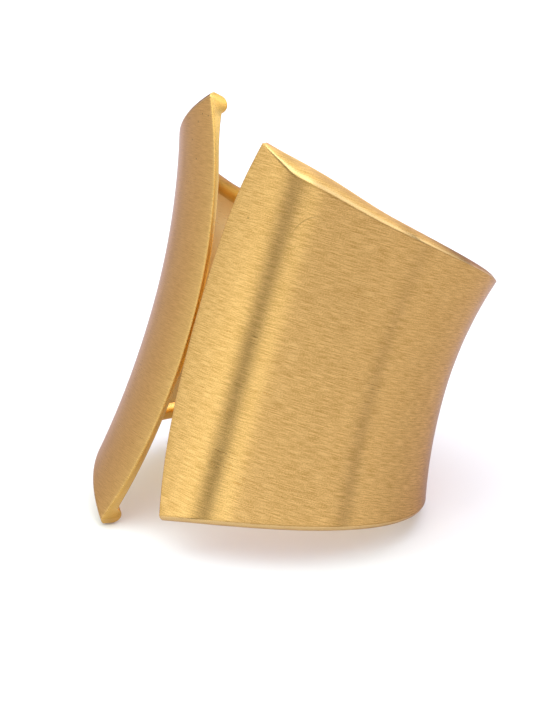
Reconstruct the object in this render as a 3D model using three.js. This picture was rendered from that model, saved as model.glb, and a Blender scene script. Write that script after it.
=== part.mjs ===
// Cuff bracelet: one wide band of brushed metal bent into an open ring. Millimetres, +Z up.
// The band is widest at its two ends and narrowest at the back, and waisted: its rims flare out.
// Each rim is rounded outside and carries a round bead inside. The ends bow towards each other and
// nearly meet at mid-height. The part stands on its lower rim, leaning as it does by its own weight.
import * as THREE from 'three';
import { ConvexHull } from 'three/addons/math/ConvexHull.js';

// Ring, measured at the waist from its middle to the outside of the wall. The opening faces -Y.
const halfDepth = 23.2;
const halfBreadth = 28.4;
const wall = 1.0;

// Half the band's height round the turn, from the right end by way of the back to the left end. The
// end values are met exactly, and the four between them are the pulls of one smooth curve.
const reachRightEnd = 32.8;
const pullRightSide = 20.5;
const pullRightBack = 18.3;
const pullLeftBack = 10.9;
const pullLeftSide = 21.8;
const reachLeftEnd = 39.5;

// How far each rim stands out beyond the waist, at the right end, the back and the left end.
const flareTopRight = 3.1;
const flareTopBack = 2.4;
const flareTopLeft = 3.8;
const flareLowRight = 1.7;
const flareLowBack = 2.4;
const flareLowLeft = 2.8;

// The opening: its width at the waist, and how far each end edge draws back at a rim.
const slit = 0.6;
const bowRightTop = 6.7;
const bowRightLow = 5.7;
const bowLeftTop = 6.6;
const bowLeftLow = 6.3;

// The rims: radius of the outer edge, and radius of the bead inside.
const rimRound = 0.8;
const beadRadius = 1.7;

// Fineness of the facets.
const stations = 96;
const faceSteps = 14;
const roundSteps = 4;
const beadSteps = 7;

const lerp = THREE.MathUtils.lerp;
const fullTurn = 2 * Math.PI;

// Value at share t of a smooth curve that starts and ends on its first and last control values.
function smoothCurve(controls, t) {
  let row = controls;
  while (row.length > 1) {
    row = row.slice(1).map((next, i) => lerp(row[i], next, t));
  }
  return row[0];
}

function reach(turn) {
  const controls = [reachRightEnd, pullRightSide, pullRightBack, pullLeftBack, pullLeftSide, reachLeftEnd];
  return smoothCurve(controls, turn / fullTurn);
}

function flare(turn, upper) {
  const top = [flareTopRight, flareTopBack, flareTopLeft];
  const low = [flareLowRight, flareLowBack, flareLowLeft];
  return smoothCurve(upper ? top : low, turn / fullTurn);
}

// Outside of the wall at an angle round the ring (0 is the middle of the opening, rising to the right)
// and a height: an ellipse, pushed out along its own normal by the flare, which grows as height squared.
function outside(turn, height) {
  const share = height / reach(turn);
  const push = flare(turn, height > 0) * share * share;
  const normal = new THREE.Vector2(Math.cos(turn) / halfDepth, Math.sin(turn) / halfBreadth).normalize();
  const forward = halfDepth * Math.cos(turn) + normal.x * push;
  const right = halfBreadth * Math.sin(turn) + normal.y * push;
  return new THREE.Vector3(right, -forward, height);
}

// Unit normal of the outside, pointing out of the ring.
function outward(turn, height) {
  const small = 0.001;
  const along = outside(turn + small, height).sub(outside(turn - small, height));
  const up = outside(turn, height + small).sub(outside(turn, height - small));
  return along.cross(up).normalize();
}

// Angle of an end edge at a share of the half height, -1 at the lower rim and 1 at the upper.
function endAngle(share, isLeft) {
  const top = isLeft ? bowLeftTop : bowRightTop;
  const low = isLeft ? bowLeftLow : bowRightLow;
  const back = slit / 2 + (share > 0 ? top : low) * share * share;
  return isLeft ? fullTurn - back / halfBreadth : back / halfBreadth;
}

// One point of the section: its height is side * half height less drop, and it lies depth under the
// outside of the wall. On the faces side runs between -1 and 1, and on the rims it is -1 or 1.
function sectionPoint(side, drop, depth) {
  return { side, drop, depth };
}

function heightAt(point, half) {
  return point.side * half - Math.sign(point.side) * point.drop;
}

// The outside and the inside of the section, each from the crown of the lower rim to that of the upper.
function section() {
  const crownDepth = Math.max(rimRound, wall + 0.35);
  const beadFoot = 2 * beadRadius;
  const outer = [];
  const inner = [];
  for (let i = 1; i < faceSteps; i += 1) {
    const side = lerp(-1, 1, i / faceSteps);
    outer.push(sectionPoint(side, Math.abs(side) * rimRound, 0));
    inner.push(sectionPoint(side, Math.abs(side) * beadFoot, wall));
  }
  for (const side of [1, -1]) {
    const round = [];
    const bead = [];
    for (let i = 0; i <= roundSteps; i += 1) {
      const a = (i / roundSteps) * Math.PI / 2;
      round.push(sectionPoint(side, rimRound * (1 - Math.sin(a)), rimRound * (1 - Math.cos(a))));
    }
    for (let i = beadSteps; i >= 0; i -= 1) {
      const a = (i / beadSteps) * Math.PI;
      const swell = lerp(crownDepth, wall, i / beadSteps);
      bead.push(sectionPoint(side, beadRadius * (1 - Math.cos(a)), swell + beadRadius * Math.sin(a)));
    }
    if (side > 0) {
      outer.push(...round);
      inner.push(...bead);
    } else {
      outer.unshift(...round.reverse());
      inner.unshift(...bead.reverse());
    }
  }
  return { outer, inner };
}

function bandGeometry() {
  const { outer, inner } = section();
  const loop = [...outer, ...inner.toReversed()];
  const positions = [];
  for (let i = 0; i <= stations; i += 1) {
    for (const p of loop) {
      const from = endAngle(heightAt(p, reachRightEnd) / reachRightEnd, false);
      const to = endAngle(heightAt(p, reachLeftEnd) / reachLeftEnd, true);
      const turn = lerp(from, to, i / stations);
      const height = heightAt(p, reach(turn));
      const place = outside(turn, height).addScaledVector(outward(turn, height), -p.depth);
      positions.push(place.x, place.y, place.z);
    }
  }
  const count = loop.length;
  const faces = [];
  for (let i = 0; i < stations; i += 1) {
    for (let j = 0; j < count; j += 1) {
      const a = i * count + j;
      const b = i * count + (j + 1) % count;
      faces.push(a, a + count, b + count, a, b + count, b);
    }
  }
  // Two plain end faces close the band: each is a strip of facets between its outer and inner edge,
  // which climbs whichever edge has the lower next point.
  const last = stations * count;
  let i = 0;
  let j = 0;
  while (i < outer.length - 1 || j < inner.length - 1) {
    const nextOuter = i < outer.length - 1 ? heightAt(outer[i + 1], reachRightEnd) : Infinity;
    const nextInner = j < inner.length - 1 ? heightAt(inner[j + 1], reachRightEnd) : Infinity;
    const corners = [i, count - 1 - j];
    if (nextOuter <= nextInner) {
      i += 1;
      corners.push(i);
    } else {
      j += 1;
      corners.push(count - 1 - j);
    }
    const [a, b, c] = corners;
    faces.push(a, c, b, last + a, last + b, last + c);
  }
  const geometry = new THREE.BufferGeometry();
  geometry.setAttribute('position', new THREE.Float32BufferAttribute(positions, 3));
  geometry.setIndex(faces);
  return geometry;
}

// Volume and centre of mass of a closed mesh, summed over the pyramids from the origin to its facets.
function massOf(geometry) {
  const position = geometry.getAttribute('position');
  const index = geometry.getIndex();
  const corner = (k) => new THREE.Vector3().fromBufferAttribute(position, index.getX(k));
  const centre = new THREE.Vector3();
  let volume = 0;
  for (let k = 0; k < index.count; k += 3) {
    const [a, b, c] = [corner(k), corner(k + 1), corner(k + 2)];
    const part = a.dot(b.clone().cross(c)) / 6;
    volume += part;
    centre.addScaledVector(a.add(b).add(c), part / 4);
  }
  return { volume, centre: centre.divideScalar(volume) };
}

// The turn that sets the band down at rest. Of the facets of its hull that it can stand on, which are
// those with the centre of mass straight above them, it is on the one that needs the least lean.
function restingLean(geometry) {
  const { centre } = massOf(geometry);
  const position = geometry.getAttribute('position');
  const points = Array.from({ length: position.count }, (_, k) => (
    new THREE.Vector3().fromBufferAttribute(position, k)));
  const down = new THREE.Vector3(0, 0, -1);
  let rest = null;
  for (const facet of new ConvexHull().setFromPoints(points).faces) {
    const corners = [0, 1, 2].map((k) => facet.getEdge(k).head().point);
    const isUnder = corners.every((corner, k) => {
      const edge = corners[(k + 1) % 3].clone().sub(corner);
      return edge.cross(centre.clone().sub(corner)).dot(facet.normal) >= 0;
    });
    if (isUnder && (rest === null || facet.normal.dot(down) > rest.dot(down))) {
      rest = facet.normal;
    }
  }
  return new THREE.Quaternion().setFromUnitVectors(rest, down);
}

const geometry = bandGeometry();
geometry.applyQuaternion(restingLean(geometry));
geometry.computeBoundingBox();
const box = geometry.boundingBox;
geometry.translate(-(box.min.x + box.max.x) / 2, -(box.min.y + box.max.y) / 2, -box.min.z);
geometry.computeVertexNormals();

const cuffBand = new THREE.Mesh(
  geometry,
  new THREE.MeshStandardMaterial({ color: 0xd8b06a, metalness: 1, roughness: 0.36 }),
);
cuffBand.name = 'cuff_band';

const cuffBracelet = new THREE.Group();
cuffBracelet.name = 'cuff_bracelet';
cuffBracelet.add(cuffBand);

export default cuffBracelet;
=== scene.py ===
import math

import bpy
import numpy as np
from mathutils import Matrix, Vector


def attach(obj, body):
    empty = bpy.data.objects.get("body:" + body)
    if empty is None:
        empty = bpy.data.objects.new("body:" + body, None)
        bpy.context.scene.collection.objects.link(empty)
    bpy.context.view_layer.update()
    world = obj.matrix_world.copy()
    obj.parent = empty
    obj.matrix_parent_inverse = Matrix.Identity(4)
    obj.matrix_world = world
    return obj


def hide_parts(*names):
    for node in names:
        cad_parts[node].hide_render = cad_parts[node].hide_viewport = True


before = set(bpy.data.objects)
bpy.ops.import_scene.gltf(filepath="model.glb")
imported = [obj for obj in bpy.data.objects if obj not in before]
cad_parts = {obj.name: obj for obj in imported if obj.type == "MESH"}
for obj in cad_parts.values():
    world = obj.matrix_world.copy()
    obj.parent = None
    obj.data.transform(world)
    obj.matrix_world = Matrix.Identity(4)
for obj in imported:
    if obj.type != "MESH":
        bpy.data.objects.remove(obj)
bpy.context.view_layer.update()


# ---------------------------------------------------------------------------------------------
# The cuff band: one wide strip of gold-plated metal, bent cold into an open oval ring. Its rims are
# flared and rolled inwards round a bead, the outside falls to each rim in a soft bevel, the two end
# edges are filed round, and the band is brushed round the ring with a pad. Sizes are in millimetres.

half_depth, half_breadth = 23.2, 28.4                    # of the oval at its waist, to the outside
wall = 1.0
half_heights = (32.8, 20.5, 18.3, 10.9, 21.8, 39.5)      # right end, four pulls round the back, left end
flares_top = (3.2, 2.6, 3.9)                             # right end, pull at the back, left end
flares_low = (1.7, 2.4, 2.8)
slit = 0.6
end_bows = {"right": (6.7, 5.7), "left": (6.6, 6.3)}     # how far an end draws back, at the top and below
end_round = 0.22                                         # radius of the filed edges of an end
corner_lift = 0.62                                       # of the upper rim, just behind its right corner
lift_start, lift_span = 0.025, 0.145                     # where it is lifted, in shares of the way round
lift_power = 6                                           # how fast the lift fades down the band
bevel_top = (2.2, 1.0, -1.8, 1.2, 0.8, 0.9)              # height: right end, four pulls, left end
bevel_low = (0.7, 0.8, 0.8, 0.9)
bevel_first = 0.06                                       # share of its height at the right end
bevel_grown, bevel_growth = 0.042, 0.9                   # where it is whole, in shares of the way; power
bevel_depth = 0.9
bevel_flat_top = (0.72, 0.85, 0.4, 0.0, 0.0)             # 1 is a flat chamfer, 0 a quarter round
bevel_flat_low = 0.15
bead_radius = 1.62
bead_middle = (1.50, 2.05)                               # under the outside, and down from the rim
bead_start = math.radians(28)                            # the crown slopes down to the bead at this angle
bead_blend = 0.6                                         # how softly the bead runs into the wall
crown_fall = (0.45, 0.85)                                # two points of the crown: shares of the depth left,
crown_drop_left = (0.55, 0.15)                           # and of the drop left, from the bead to the rim
thickening_top, thickening_low = 0.9, 0.6                # of the wall towards a bead
thick_height_top, thick_height_low = 8.0, 26.0           # the height over which that fades
ring_axis = (0.01430, 0.35362, 0.93528)                  # where the ring's axis points as the cuff stands

stations = 300                                           # steps of the mesh from end to end,
round_steps = 5                                          # over an end's filed edge,
rim_steps = 34                                           # over a rim, outside and inside alike,
face_steps = 64                                          # and between the rims
rim_gathering = 1.8                                      # how closely a rim's outer points gather at its top


def smooth_curve(controls, share):
    """One smooth curve through its first and last control values, pulled by those between: the
    controls are blended pairwise by share, again and again, until one value is left."""
    row = [np.asarray(control, dtype=float) + 0.0 * share for control in controls]
    while len(row) > 1:
        row = [(1 - share) * one + share * other for one, other in zip(row, row[1:])]
    return row[0]


def outside_of_wall(turn, height):
    """A point on the outside: an ellipse of half_depth by half_breadth, with turn 0 in the middle of
    the opening, pushed out along the ellipse's own normal by the flare times the square of height
    over the half height there."""
    round_share = turn / (2 * np.pi)
    share = height / smooth_curve(half_heights, round_share)
    flare = np.where(height > 0, smooth_curve(flares_top, round_share),
                     smooth_curve(flares_low, round_share))
    push = flare * share * share
    ahead, aside = np.cos(turn) / half_depth, np.sin(turn) / half_breadth
    length = np.hypot(ahead, aside)
    forward = half_depth * np.cos(turn) + push * ahead / length
    right = half_breadth * np.sin(turn) + push * aside / length
    return np.stack([right, -forward, height + 0.0 * turn], axis=-1)


def under_the_outside(turn, height, depth):
    """The point that lies depth under the outside: the outside less depth times its unit normal,
    which is the cross product of its slopes along the turn and up the height."""
    small = 0.001
    along = outside_of_wall(turn + small, height) - outside_of_wall(turn - small, height)
    up = outside_of_wall(turn, height + small) - outside_of_wall(turn, height - small)
    normal = np.cross(along, up)
    normal /= np.linalg.norm(normal, axis=-1, keepdims=True)
    return outside_of_wall(turn, height) - depth[..., None] * normal


def end_turn(end, share):
    """Turn of an end edge at a share of its half height: half the slit plus the bow times the share
    squared, divided by half_breadth."""
    top, low = end_bows[end]
    back = slit / 2 + np.where(share > 0, top, low) * share * share
    return back / half_breadth if end == "right" else 2 * np.pi - back / half_breadth


def smooth_greater(one, other, blend):
    """The greater of two numbers, rounded over where they are within blend of each other."""
    near = np.clip(1 - np.abs(one - other) / blend, 0, 1)
    return np.maximum(one, other) + near * near * blend / 4


# The inside of a rim, from the foot of the bead to the top: part of a circle, and two points of the
# crown. The outside of a rim has as many points over the same height. A point's side is 1 on the upper
# rim, -1 on the lower, and between them on the faces.
bead_angle = np.linspace(np.pi, bead_start, rim_steps - len(crown_fall))
bead_depth = bead_middle[0] + bead_radius * np.sin(bead_angle)
bead_drop = bead_middle[1] - bead_radius * np.cos(bead_angle)
crown_depth = bead_depth[-1] + (bevel_depth - bead_depth[-1]) * np.array(crown_fall)
crown_drop = bead_drop[-1] * np.array(crown_drop_left)
inner_rim_depth = np.concatenate([bead_depth, crown_depth])
inner_rim_drop = np.concatenate([bead_drop, crown_drop])
bead_foot = bead_drop[0]
outer_rim_drop = bead_foot * np.linspace(1, 0, rim_steps) ** rim_gathering
face_side = np.linspace(-1, 1, face_steps + 1)[1:-1]
side = np.concatenate([-np.ones(rim_steps), face_side, np.ones(rim_steps)])
far_off, low_arris = 9, -0.05                            # from the arris: on the inside, and on the low rim


def section(share):
    """Side, drop from the rim and depth under the outside, round the closed section: up the outside
    from the lower crown to the upper, and back down the inside. The outside falls in by bevel_depth
    over the bevel's height, part of it evenly and the rest as a quarter round, so that a flat bevel
    starts in a sharp arris. The inside lies at the wall's thickness, thickened towards each rim as the
    square of the way to go, and swells there round the bead. The last number is how far a point of the
    outside is from the arris, in heights of the bevel. It is less than 0 on the bevel, and held just
    under 0 on the lower one, so that all of that bevel takes the burnished band with its painted
    highlight, and none of the painted shade of the crown."""
    half = smooth_curve(half_heights, share)
    face_drop = np.abs(face_side) * bead_foot
    outer_drop = np.concatenate([outer_rim_drop[::-1], face_drop, outer_rim_drop])
    inner_drop = np.concatenate([inner_rim_drop[::-1], face_drop, inner_rim_drop])
    outer_from_rim = half * (1 - np.abs(side)) + outer_drop
    inner_from_rim = half * (1 - np.abs(side)) + inner_drop

    grown = bevel_first + (1 - bevel_first) * min(share / bevel_grown, 1.0) ** bevel_growth
    bevel = np.where(side > 0, smooth_curve(bevel_top, share) * grown, smooth_curve(bevel_low, share))
    flat = np.where(side > 0, smooth_curve(bevel_flat_top, share), bevel_flat_low)
    from_arris = outer_from_rim / bevel - 1
    fall = np.clip(-from_arris, 0, 1)
    outer = bevel_depth * (flat * fall + (1 - flat) * (1 - np.sqrt(1 - fall * fall)))

    extra = np.where(side > 0, thickening_top, thickening_low)
    fade = np.where(side > 0, thick_height_top, thick_height_low) * half / half_heights[-1]
    to_go = np.clip(1 - (inner_from_rim - bead_foot) / fade, 0, 1)
    plain_inner = wall + extra * to_go * to_go
    swell = np.concatenate([inner_rim_depth[::-1], np.zeros(face_steps - 1), inner_rim_depth])
    over_the_bead = inner_drop < bead_middle[1]
    rim_inner = np.where(over_the_bead, swell, smooth_greater(plain_inner, swell, bead_blend))
    inner = np.where(np.abs(side) < 1, plain_inner, rim_inner)

    outer_arris = np.where(side > 0, from_arris, np.maximum(from_arris, low_arris))
    inner_arris = np.where(side > 0, -far_off, low_arris)
    round_it = ((side, side), (outer_drop, inner_drop), (outer, inner), (outer_arris, inner_arris))
    return tuple(np.concatenate([up_outside, up_inside[::-1]]) for up_outside, up_inside in round_it)


def draw_band():
    """Turn, height, depth and way from the arris of all rings of the band, from the right end to the
    left. At each end round_steps more rings draw the section in by end_round * (1 - cos a) while they
    move on by end_round * sin a, so that the end edge is a quarter round. Behind the right corner the
    upper rim is lifted by corner_lift along one arch of a squared sine."""
    ends = {}
    for end, share in (("right", 0.0), ("left", 1.0)):
        sides, drops, _, _ = section(share)
        half = float(smooth_curve(half_heights, share))
        ends[end] = end_turn(end, (sides * half - np.sign(sides) * drops) / half)
    held_back = end_round / half_breadth
    rings = []
    for i in range(-round_steps, stations + 1 + round_steps):
        share = min(max(i / stations, 0.0), 1.0)
        a = max(-i, i - stations, 0) / round_steps * np.pi / 2
        turn = (1 - share) * (ends["right"] + held_back) + share * (ends["left"] - held_back)
        turn = turn + held_back * math.sin(a) * (-1 if i < 0 else 1)
        sides, drops, depth, from_arris = section(share)
        round_share = turn / (2 * np.pi)
        half = smooth_curve(half_heights, round_share)
        height = sides * half - np.sign(sides) * drops
        arch = np.sin(np.pi * np.clip((round_share - lift_start) / lift_span, 0, 1)) ** 2
        height = height + corner_lift * arch * np.clip(height / half, 0, 1) ** lift_power
        along_height, along_depth = (np.roll(v, -1) - np.roll(v, 1) for v in (height, depth))
        length = np.maximum(np.hypot(along_height, along_depth), 1e-9)
        draw_in = end_round * (1 - math.cos(a))
        rings.append((turn, height - draw_in * along_depth / length,
                      depth + draw_in * along_height / length, from_arris))
    return tuple(np.array(numbers) for numbers in zip(*rings))


# The band leans as it stands by itself, and rests on the ground with its box centred over the origin.
turn, height, depth, from_arris = draw_band()
points = under_the_outside(turn, height, depth).reshape(-1, 3)
stand_up = Vector((0, 0, 1)).rotation_difference(Vector(ring_axis))
points = points @ np.array(stand_up.to_matrix()).T
least, most = points.min(axis=0), points.max(axis=0)
points -= [(least[0] + most[0]) / 2, (least[1] + most[1]) / 2, least[2]]

# Its skin joins each ring to the next, and a strip of faces from outside to inside closes each end.
rings, around = turn.shape
ring = np.arange(rings - 1)[:, None] * around
here = np.arange(around)[None, :]
ahead = (here + 1) % around
skin = np.stack([ring + here, ring + around + here, ring + around + ahead, ring + ahead], axis=-1)
points_up = len(side)
up = np.arange(points_up - 1)
across = around - 1 - up
cap = np.stack([up, up + 1, across - 1, across], axis=-1)
last = (rings - 1) * around
faces = np.concatenate([skin.reshape(-1, 4), cap, last + cap[:, ::-1]])

millimetres = 1000                                       # in a metre
crease = math.radians(42)
band_mesh = bpy.data.meshes.new("cuff_band")
band_mesh.from_pydata((points / millimetres).tolist(), [], faces.tolist())

# The brushing runs round the ring at a level height, so the map's U is the height in millimetres,
# carried on over the rolled rims by the depth, and its V is the way round in millimetres.
level_height = 3                                         # the depth counts in full from this height
lean_in = np.clip(height / level_height, -1, 1)
brushed = np.stack([height + lean_in * depth, turn * (half_depth + half_breadth) / 2], axis=-1)
corner = np.empty(len(band_mesh.loops), dtype=np.int32)
band_mesh.loops.foreach_get("vertex_index", corner)
brushing = band_mesh.uv_layers.new(name="brushing")
brushing.data.foreach_set("uv", brushed.reshape(-1, 2)[corner].astype(np.float32).ravel())

# Marks for the finish and for the light painted on it: how far a point is on the inside of the wall, or
# on a bead, or on a filed end face, how far it is from the arris where a bevel starts, and how fine the
# brushing of its part of the band is, where painted shade also darkens the left part.
bead_foot_steps, crown_steps = 9, 8                      # over which the bead's mark fades
fine_start, fine_span = 0.70, 0.15                       # of the finer brushing, in shares of the way round
fine_bead = 0.7                                          # how much of the bead's mark that takes away
filed_fade = (1.0, 1.0, 0.8, 0.5, 0.2, 0.0)              # over the rings of a filed edge
off_the_bead = np.clip(1 - np.arange(rim_steps) / bead_foot_steps, 0, 1)
over_the_crown = np.clip((rim_steps - 1 - np.arange(rim_steps)) / crown_steps, 0, 1)
on_bead = (1 - off_the_bead) * over_the_crown
outside, face = np.zeros(points_up), np.ones(face_steps - 1)
inside = np.concatenate([outside, off_the_bead[::-1], face, off_the_bead])
bead = np.concatenate([outside, on_bead[::-1], 0 * face, on_bead])
finely_and_shaded = np.clip((turn[:, :1] / (2 * np.pi) - fine_start) / fine_span, 0, 1) + 0 * turn
filed = np.zeros(rings)
filed[:len(filed_fade)] = filed[::-1][:len(filed_fade)] = filed_fade
marks = {"inside": np.tile(inside, rings), "bead": bead * (1 - fine_bead * finely_and_shaded),
         "filed": np.repeat(filed, around), "from_arris": np.clip(from_arris, -far_off, far_off),
         "finely_and_shaded": finely_and_shaded}
for name, numbers in marks.items():
    mark = band_mesh.attributes.new(name, "FLOAT", "POINT")
    mark.data.foreach_set("value", numbers.astype(np.float32).ravel())

band_mesh.polygons.foreach_set("use_smooth", np.ones(len(faces), dtype=bool))
band_mesh.set_sharp_from_angle(angle=crease)
band_mesh.update()
band_mesh.validate()
cuff_band = bpy.data.objects.new("brushed_cuff_band", band_mesh)
bpy.context.scene.collection.objects.link(cuff_band)
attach(cuff_band, "root")
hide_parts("cuff_band")

# The finish is gold plate, brushed with an abrasive pad, so that fine short lines lie side by side at
# a level height. It shows a few pits of the casting, one scratch, and wear along the upper arris. Light
# is painted into its colour as well: a highlight on the burnished bevel, shade along the arris, on the
# crown and on the left part, and orange reflections on the inside, on the beads and on the end faces.
brush_marks = {                                          # to a millimetre across and along; detail; swirl
    "hair": (7.0, 0.45, 1.0, 0.0),
    "stroke": (4.5, 0.12, 1.0, 0.0),
    "grit": (6.5, 5.0, 1.0, 0.0),
    "cloud": (0.12, 0.05, 2.0, 0.3)}
brush_shares = {
    "Tone": {"hair": 0.44, "stroke": 0.16, "grit": 0.38, "cloud": 0.02},
    "Roughness": {"hair": 0.3, "stroke": 0.3, "cloud": 0.4},
    "Height": {"hair": 0.5, "stroke": 0.2, "grit": 0.3}}
brush_noise = 0.62                                       # roughness of the noise that draws the marks
brush_shift = (13.7, 5.3, 1)                             # sets each kind of mark apart from the last
pit_places = ((32.5, 154.3), (32.4, 156.0), (31.1, 153.2), (28.1, 151.7), (25.3, 153.9), (18.8, 6.1))
pit_edge, pit_floor = 0.16, 0.07                         # radii of a pit, and of its darkest part
scratch_centre, scratch_radius = (17.0, 18.9), 5.5       # of the ring that the scratch is part of
scratch_middle = (20.7, 14.9)
scratch_end, scratch_whole = 3.0, 1.0                    # how far from its middle it ends, and is whole
scratch_edge, scratch_floor = 0.13, 0.04                 # half widths of it, and of its darkest part
wear_and_light_zones = {                                           # by the way from the arris: none, full, full, none
    "Burnished_highlight": (-0.42, -0.20, -0.05, 0.0),
    "Line": (-0.02, 0.03, 0.06, 0.22),
    "Crown_shade": (-1.3, -1.0, -0.85, -0.45)}
glancing_tint = (0.82, 0.74, 0.74, 1.0)                  # of the metal where it is seen at a low angle
under, over, mixed = 6, 7, 2                             # a Mix node's sockets for colours


def put(tree, kind, feeds=(), **settings):
    """Adds a node, sets its settings, and feeds its sockets with values or with other sockets."""
    node = tree.nodes.new(kind)
    for name, value in settings.items():
        setattr(node, name, value)
    for name, value in dict(feeds).items():
        socket = node.inputs[name]
        if isinstance(value, bpy.types.NodeSocket):
            tree.links.new(value, socket)
        else:
            socket.default_value = value
    return node


def reckoned(tree, operation, *values, **settings):
    """What a Math node makes of the values."""
    return put(tree, "ShaderNodeMath", enumerate(values), operation=operation, **settings).outputs[0]


def ranged(tree, value, start, end, low=0.0, high=1.0):
    """The value, carried evenly from the range start to end over to the range low to high."""
    return put(tree, "ShaderNodeMapRange", {"Value": value, "From Min": start, "From Max": end,
                                            "To Min": low, "To Max": high}).outputs["Result"]


def scaled(tree, colour, amount):
    """The colour times an amount."""
    return put(tree, "ShaderNodeVectorMath", {0: colour, "Scale": amount},
               operation="SCALE").outputs["Vector"]


def overlaid(tree, factor, below, above):
    """The colour below, mixed towards the colour above by a factor."""
    return put(tree, "ShaderNodeMix", {"Factor": factor, under: below, over: above},
               data_type="RGBA").outputs[mixed]


def marked(tree, name):
    """The value of one of the band's marks."""
    return put(tree, "ShaderNodeAttribute", attribute_name=name, attribute_type="GEOMETRY").outputs["Fac"]


def started_group(name, outputs):
    """A new node group that puts out the values named, and its output node."""
    group = bpy.data.node_groups.new(name, "ShaderNodeTree")
    for output in outputs:
        group.interface.new_socket(output, in_out="OUTPUT", socket_type="NodeSocketFloat")
    return group, group.nodes.new("NodeGroupOutput")


def brush_line_group():
    """Brush marks: noise of four kinds, drawn out along the ring on the brushing map, and added up
    in brush_shares as a tone, a roughness and a height that vary."""
    group, out = started_group("brush_lines", brush_shares)
    lie = put(group, "ShaderNodeUVMap", uv_map="brushing").outputs["UV"]
    drawn = {}
    for seed, (kind, (across, along, detail, swirl)) in enumerate(brush_marks.items(), start=1):
        stretched = put(group, "ShaderNodeMapping", {
            "Vector": lie, "Scale": (across, along, 1), "Location": [seed * v for v in brush_shift]},
            vector_type="POINT").outputs["Vector"]
        drawn[kind] = put(group, "ShaderNodeTexNoise", {
            "Vector": stretched, "Scale": 1.0, "Detail": detail, "Roughness": brush_noise,
            "Distortion": swirl}).outputs["Fac"]
    for output, shares in brush_shares.items():
        total = 0.0
        for kind, share in shares.items():
            total = reckoned(group, "ADD", total, reckoned(group, "MULTIPLY", drawn[kind], share))
        group.links.new(total, out.inputs[output])
    return group


def flaw_group():
    """Flaws: a few casting pits, and one fine curved scratch, as masks. A pit is what lies near one of
    pit_places on the brushing map. The scratch is a thin ring, kept where it is near its middle."""
    group, out = started_group("pits_and_scratch", ("Pit", "Scratch"))
    lie = put(group, "ShaderNodeUVMap", uv_map="brushing").outputs["UV"]

    def way_to(place):
        return put(group, "ShaderNodeVectorMath", {0: lie, 1: (*place, 0)},
                   operation="DISTANCE").outputs["Value"]

    nearest = way_to(pit_places[0])
    for place in pit_places[1:]:
        nearest = reckoned(group, "MINIMUM", nearest, way_to(place))
    group.links.new(ranged(group, nearest, pit_edge, pit_floor), out.inputs["Pit"])
    off = reckoned(group, "SUBTRACT", way_to(scratch_centre), scratch_radius)
    thin = ranged(group, reckoned(group, "ABSOLUTE", off), scratch_edge, scratch_floor)
    kept = ranged(group, way_to(scratch_middle), scratch_end, scratch_whole)
    group.links.new(reckoned(group, "MULTIPLY", thin, kept), out.inputs["Scratch"])
    return group


def arris_group():
    """Wear and painted light of the arris: a burnished band on the bevel just above it, which carries a
    painted highlight, a thin dark line of painted shade just below it, and painted shade on the crown,
    as masks of how far a point is from the arris."""
    group, out = started_group("arris_wear_and_light", wear_and_light_zones)
    away = marked(group, "from_arris")
    for zone, (none_low, full_low, full_high, none_high) in wear_and_light_zones.items():
        rising = ranged(group, away, none_low, full_low)
        falling = ranged(group, away, none_high, full_high)
        group.links.new(reckoned(group, "MULTIPLY", rising, falling), out.inputs[zone])
    return group


gold = bpy.data.materials.new("brushed_gold_plate")
gold.use_nodes = True
tree = gold.node_tree
shader = tree.nodes["Principled BSDF"]
shader.inputs["Metallic"].default_value = 1.0
shader.inputs["Anisotropic"].default_value = 1.0
shader.inputs["Specular Tint"].default_value = glancing_tint
shader.inputs["Anisotropic Rotation"].default_value = 0.0
lines = put(tree, "ShaderNodeGroup", node_tree=brush_line_group()).outputs
flaws = put(tree, "ShaderNodeGroup", node_tree=flaw_group()).outputs
arris = put(tree, "ShaderNodeGroup", node_tree=arris_group()).outputs

gold_tones = ((0.40, (0.60, 0.360, 0.100)), (0.60, (0.90, 0.604, 0.220)))    # darkest and lightest
tone = put(tree, "ShaderNodeValToRGB", {"Fac": lines["Tone"]})
for element, (position, gold_colour) in zip(tone.color_ramp.elements, gold_tones):
    element.position = position
    element.color = (*gold_colour, 1)
tints = (                                                # mask, strength, and the colour it is mixed towards
    (marked(tree, "finely_and_shaded"), 0.40, (0.76, 0.485, 0.155)),      # painted shade on the left part, brushed finer
    (arris["Burnished_highlight"], 0.60, (1.0, 0.77, 0.36)),             # painted highlight on the band burnished by rubbing
    (arris["Line"], 0.45, (0.36, 0.20, 0.05)),                 # painted shade: a thin dark line under the arris
    # painted shade on the crown of the upper rim
    (arris["Crown_shade"], 0.50, (0.46, 0.28, 0.15)),
    (flaws["Scratch"], 0.55, (0.40, 0.23, 0.07)),
    (flaws["Pit"], 0.70, (0.16, 0.09, 0.03)),
    (marked(tree, "inside"), 0.80, (1.0, 0.76, 0.34)),         # painted orange reflection of the gold on its own inside
    # painted reflection: orange on the filed end faces, facing each other across the slit
    (marked(tree, "filed"), 0.50, (1.0, 0.66, 0.16)),
    (marked(tree, "bead"), 0.85, (0.96, 0.53, 0.06)))          # painted reflection and shade: deep orange in the hollow of the rim
colour = tone.outputs["Color"]
for mask, strength, tint in tints:
    colour = overlaid(tree, reckoned(tree, "MULTIPLY", mask, strength), colour, (*tint, 1))
tree.links.new(colour, shader.inputs["Base Color"])

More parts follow.
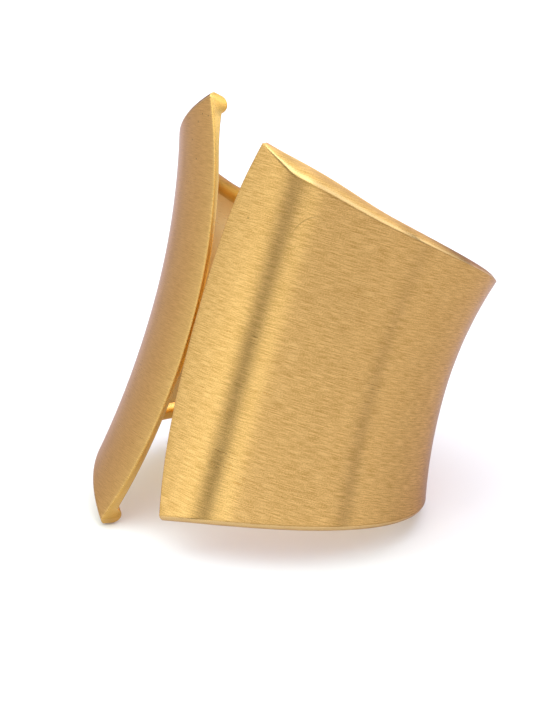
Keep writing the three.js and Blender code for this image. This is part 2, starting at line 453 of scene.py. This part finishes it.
noise_low, noise_high = 0.3, 0.7                         # what the noise mostly lies between,
satin_low, satin_high = 0.26, 0.34                       # and the roughness at its low and high end
filed_polish, burnished_polish = 0.10, 0.07              # taken off the roughness
burnished_flat, finely_flat = 0.85, 0.45                 # taken off the height of the brush marks
groove = 0.000044                                        # depth of the brush marks, in metres
rough = ranged(tree, lines["Roughness"], noise_low, noise_high, satin_low, satin_high)
rough = reckoned(tree, "MULTIPLY_ADD", marked(tree, "filed"), -filed_polish, rough)
rough = reckoned(tree, "MULTIPLY_ADD", arris["Burnished_highlight"], -burnished_polish, rough)
tree.links.new(rough, shader.inputs["Roughness"])
raised = reckoned(tree, "MULTIPLY_ADD", arris["Burnished_highlight"], -burnished_flat, 1.0)
raised = reckoned(tree, "MULTIPLY_ADD", marked(tree, "finely_and_shaded"), -finely_flat, raised, use_clamp=True)
bump = put(tree, "ShaderNodeBump", {"Strength": raised, "Distance": groove, "Height": lines["Height"]})
tree.links.new(bump.outputs["Normal"], shader.inputs["Normal"])
grain_way = put(tree, "ShaderNodeTangent", direction_type="UV_MAP", uv_map="brushing")
tree.links.new(grain_way.outputs["Tangent"], shader.inputs["Tangent"])
band_mesh.materials.append(gold)


# ---------------------------------------------------------------------------------------------
# The table that the cuff stands on: a wide, matt, pale board, which fills the picture. It is painted
# evenly by hand, and shows brighter to the camera than in the metal. Sizes are in metres.

table_half = 2.5
mottle_scale = 3.0                                       # patches to a metre
paint_low, paint_high = 0.55, 0.57
paint_mirrored = (1.0, 0.96, 0.96, 1)                    # times this in the metal and in bounced light,
paint_seen = (1.59, 1.69, 1.63, 1)                       # and this where the camera sees the board itself
board_rough = 0.9

table_mesh = bpy.data.meshes.new("pale_table")
corners = [(x * table_half, y * table_half, 0.0) for x, y in ((-1, -1), (1, -1), (1, 1), (-1, 1))]
table_mesh.from_pydata(corners, [], [(0, 1, 2, 3)])
matt_white = bpy.data.materials.new("matt_white")
matt_white.use_nodes = True
board = matt_white.node_tree
board_shader = board.nodes["Principled BSDF"]
board_shader.inputs["Roughness"].default_value = board_rough
board_shader.inputs["Specular IOR Level"].default_value = 0.0
place = put(board, "ShaderNodeTexCoord").outputs["Object"]
mottle = put(board, "ShaderNodeTexNoise", {"Vector": place, "Scale": mottle_scale}).outputs["Fac"]
paint = ranged(board, mottle, 0.0, 1.0, paint_low, paint_high)
direct = put(board, "ShaderNodeLightPath").outputs["Is Camera Ray"]
painted = scaled(board, overlaid(board, direct, paint_mirrored, paint_seen), paint)
board.links.new(painted, board_shader.inputs["Base Color"])
table_mesh.materials.append(matt_white)
pale_table = bpy.data.objects.new("pale_table", table_mesh)
bpy.context.scene.collection.objects.link(pale_table)


# ---------------------------------------------------------------------------------------------
# The studio light: a round tent of white cloth, brightest overhead, with four narrow gaps between its
# panels. The brushed metal draws each gap out into a dark line along the ring's axis.

plain, rosy, dusky, lilac = (1, 1, 1), (1, 0.95, 1.03), (1, 0.87, 0.92), (1, 0.87, 1.4)
panel_stops = [                                          # bearing from the opening to the right, glow, tint
    (-180, 0.50, lilac), (-176, 0.78, lilac), (-104, 0.74, lilac), (-102.5, 0, plain), (-94.5, 0, plain),
    (-93, 0.54, dusky), (-72, 0.62, dusky), (-55, 0.74, plain), (-30, 0.86, plain), (-19, 1.0, plain),
    (-12.7, 1.0, plain), (-12.4, 0, plain), (-2.2, 0, plain), (-1.9, 0.95, plain), (4, 0.95, plain),
    (9, 0.92, plain), (10.5, 0.54, rosy), (60, 0.56, rosy), (88, 0.75, rosy), (89.6, 0.75, rosy),
    (90.0, 0, plain), (98.4, 0, plain), (98.9, 0.84, rosy), (130, 0.78, rosy), (156, 0.64, rosy),
    (157.5, 0, plain), (167, 0, plain), (168.5, 0.84, lilac), (176, 0.84, lilac), (180, 0.50, lilac)]
gain_low, gain_high = 0.98, 3.2                          # of the glow, as the cloth rises
gain_from, gain_to = 0.24, 0.85                          # between these heights, 1 being straight overhead
roof_from, roof_to = 0.72, 0.90                          # the panels run together into a plain roof
roof_colour, seen_colour = (0.56, 0.56, 0.56, 1), (1, 1, 1, 1)

tent = bpy.data.worlds.new("light_tent")
bpy.context.scene.world = tent
tent.use_nodes = True
cloth = tent.node_tree
for node in list(cloth.nodes):
    cloth.nodes.remove(node)
look = put(cloth, "ShaderNodeTexCoord").outputs["Generated"]
lean = put(cloth, "ShaderNodeVectorRotate", {"Vector": look, "Center": (0, 0, 0),
                                             "Axis": tuple(stand_up.axis), "Angle": -stand_up.angle},
           rotation_type="AXIS_ANGLE").outputs["Vector"]
aim = put(cloth, "ShaderNodeSeparateXYZ", {"Vector": lean}).outputs
bearing = reckoned(cloth, "ARCTAN2", aim["X"], reckoned(cloth, "MULTIPLY", aim["Y"], -1.0))
way_round = ranged(cloth, bearing, -math.pi, math.pi)
panels = put(cloth, "ShaderNodeValToRGB", {"Fac": way_round})
while len(panels.color_ramp.elements) < len(panel_stops):
    panels.color_ramp.elements.new(0.5)
for element, (degrees, glow, tint) in zip(panels.color_ramp.elements, panel_stops):
    element.position = (degrees + 180) / 360
    element.color = (*(glow * part for part in tint), 1)
rise = put(cloth, "ShaderNodeSeparateXYZ", {"Vector": look}).outputs["Z"]
roof = ranged(cloth, rise, roof_from, roof_to)
covered = overlaid(cloth, roof, panels.outputs["Color"], roof_colour)
glowing = scaled(cloth, covered, ranged(cloth, rise, gain_from, gain_to, gain_low, gain_high))
seen = put(cloth, "ShaderNodeLightPath").outputs["Is Camera Ray"]
shown = overlaid(cloth, seen, glowing, seen_colour)
glow_out = put(cloth, "ShaderNodeBackground", {"Color": shown, "Strength": 1.0}).outputs["Background"]
put(cloth, "ShaderNodeOutputWorld", {"Surface": glow_out})


# ---------------------------------------------------------------------------------------------
# The camera: it looks down at the cuff from the side of its shorter end, over the opening. The lens
# and the shift are in pixels of the picture, which is 708 high.

camera_at = (0.185525, -0.150413, 0.109773)
azimuth, elevation, roll = 50.402, 19.211, -0.587        # in degrees
sensor = 36.0
picture_height = 708
focal_pixels = 1500
shift_aside, shift_up = -33.3, -12.2

lens_data = bpy.data.cameras.new("photo_camera")
lens_data.sensor_width = sensor
lens_data.lens = focal_pixels * sensor / picture_height
lens_data.shift_x = shift_aside / picture_height
lens_data.shift_y = shift_up / picture_height
lens_data.clip_start = 0.01
photo_camera = bpy.data.objects.new("photo_camera", lens_data)
turned = Matrix.Identity(4)
for angle, axis in ((azimuth, "Z"), (90 - elevation, "X"), (roll, "Z")):
    turned = turned @ Matrix.Rotation(math.radians(angle), 4, axis)
photo_camera.matrix_world = Matrix.Translation(camera_at) @ turned
bpy.context.scene.collection.objects.link(photo_camera)
bpy.context.scene.camera = photo_camera
bpy.context.scene.view_settings.view_transform = "Standard"
